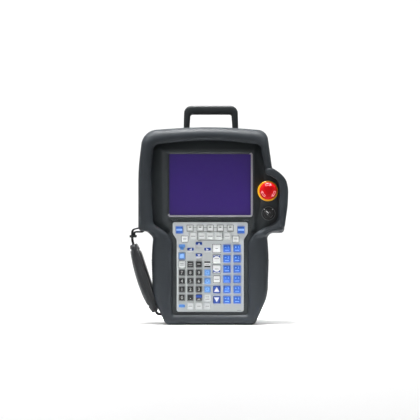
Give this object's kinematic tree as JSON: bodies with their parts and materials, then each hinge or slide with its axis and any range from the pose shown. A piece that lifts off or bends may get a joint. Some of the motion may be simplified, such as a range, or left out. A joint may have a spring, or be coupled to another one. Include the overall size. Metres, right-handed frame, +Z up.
{
  "type": "teach pendant",
  "caption": "Robot teach pendant: wide screen head on a narrower keypad grip, with a red stop button, a mode knob, top handle, hand strap and rear enabling paddles.",
  "frame": {"origin": "on the ground plane under the keypad's centre line and under the joint plane of the two shells, with the pendant standing on its lower end", "axes": "+Z up along the pendant's length; -Y out of the screen and keypad; +X to the operator's right"},
  "size_m": [0.2537, 0.094, 0.3534],
  "materials": {
    "charcoal_shell": "fine spark-eroded texture, satin",
    "charcoal_rear": "fine spark-eroded texture, satin",
    "recess_panel": "smooth satin",
    "black_rubber": "matt",
    "grip_rubber": "matt, ribbed",
    "screw_steel": "zinc plated",
    "black_screw": "black oxide",
    "window_violet": "hard-coated acrylic over a dark display",
    "lcd_steel": "satin",
    "bracket_steel": "zinc plated",
    "board_green": "solder mask",
    "component_black": "moulded epoxy",
    "overlay_grey": "embossed textured polyester",
    "dome_steel": "bright",
    "membrane": "clear polyester on adhesive",
    "plate_aluminium": "mill finish",
    "estop_yellow": "smooth moulded",
    "estop_red": "smooth moulded",
    "switch_black": "moulded nylon",
    "contact_grey": "moulded nylon",
    "nut_steel": "nickel plated",
    "spring_steel": "drawn wire",
    "knob_black": "moulded, with a pale pointer",
    "paddle_grey": "textured",
    "pin_steel": "ground",
    "handle_charcoal": "satin",
    "pad_fabric": "padded coated fabric with a bound edge",
    "webbing": "woven nylon tape",
    "slider_black": "moulded nylon",
    "anchor_steel": "grey coated",
    "inlet_metal": "nickel plated die casting",
    "insert_black": "moulded",
    "contact_gold": "gold flash"
  },
  "bodies": {
    "housing": {"front_housing": "charcoal_shell", "rear_housing": "charcoal_rear", "housing_gasket": "black_rubber", "rear_cover": "charcoal_rear", "rear_cover_screws": "screw_steel", "display_panel": "recess_panel", "keypad_frame": "recess_panel", "panel_screws": "screw_steel", "display_window": "window_violet", "window_seal": "black_rubber", "lcd_module": "lcd_steel", "lcd_bracket": "bracket_steel", "lcd_screws": "screw_steel", "board_standoffs": "screw_steel", "main_board": "board_green", "board_components": "component_black", "board_screws": "screw_steel", "keypad_overlay": "overlay_grey", "keypad_domes": "dome_steel", "keypad_membrane": "membrane", "keypad_backing_plate": "plate_aluminium", "keypad_screws": "screw_steel", "estop_collar": "estop_yellow", "estop_barrel": "switch_black", "estop_nut": "nut_steel", "estop_contact_block": "contact_grey", "estop_spring": "spring_steel", "enable_ring": "switch_black", "enable_switch_body": "switch_black", "enable_nut": "nut_steel", "deadman_right_pin": "pin_steel", "deadman_left_pin": "pin_steel", "deadman_right_spring": "spring_steel", "deadman_left_spring": "spring_steel", "deadman_right_switch": "switch_black", "deadman_left_switch": "switch_black", "handle": "handle_charcoal", "handle_screws": "black_screw", "case_screws": "screw_steel", "grip_ribs": "grip_rubber", "strap_pad": "pad_fabric", "strap_upper_webbing": "webbing", "strap_lower_webbing": "webbing", "strap_slider": "slider_black", "strap_upper_anchor": "anchor_steel", "strap_lower_anchor": "anchor_steel", "connector_shell": "inlet_metal", "connector_insert": "insert_black", "connector_pins": "contact_gold", "connector_screws": "screw_steel"},
    "estop_plunger": {"estop_stem": "switch_black"},
    "estop_head": {"estop_head": "estop_red"},
    "enable_knob": {"enable_knob": "knob_black", "enable_shaft": "pin_steel"},
    "deadman_right": {"deadman_right": "paddle_grey"},
    "deadman_left": {"deadman_left": "paddle_grey"},
    "deadman_right_plunger": {"deadman_right_plunger": "contact_grey"},
    "deadman_left_plunger": {"deadman_left_plunger": "contact_grey"}
  },
  "joints": [
    {"name": "estop_push", "type": "slide", "parent": "housing", "child": "estop_plunger", "axis": [0, 1, 0], "range_m": [0, 0.004], "stiffness_N_per_m": 1500, "springref_m": -0.004},
    {"name": "estop_twist", "type": "hinge", "parent": "estop_plunger", "child": "estop_head", "pos_m": [0.0923, 0, 0.2144], "axis": [0, 1, 0], "range_deg": [0, 45], "stiffness_Nm_per_rad": 0.06, "springref_deg": -20.05},
    {"name": "enable_turn", "type": "hinge", "parent": "housing", "child": "enable_knob", "pos_m": [0.0933, 0, 0.1784], "axis": [0, 1, 0], "range_deg": [0, 90]},
    {"name": "deadman_right_press", "type": "hinge", "parent": "housing", "child": "deadman_right", "pos_m": [0.066, 0.028, 0.209], "axis": [0, 0, -1], "range_deg": [0, 13], "stiffness_Nm_per_rad": 0.5, "springref_deg": -8.59},
    {"name": "deadman_left_press", "type": "hinge", "parent": "housing", "child": "deadman_left", "pos_m": [-0.066, 0.028, 0.209], "axis": [0, 0, 1], "range_deg": [0, 13], "stiffness_Nm_per_rad": 0.5, "springref_deg": -8.59},
    {"name": "deadman_right_plunge", "type": "slide", "parent": "housing", "child": "deadman_right_plunger", "axis": [0, -1, 0], "range_m": [0, 0.0023]},
    {"name": "deadman_left_plunge", "type": "slide", "parent": "housing", "child": "deadman_left_plunger", "axis": [0, -1, 0], "range_m": [0, 0.0023]}
  ],
  "couplings": [
    {"joint": "deadman_right_plunge", "follows": "deadman_right_press", "m_per_rad": 0.01},
    {"joint": "deadman_left_plunge", "follows": "deadman_left_press", "m_per_rad": 0.01}
  ]
}
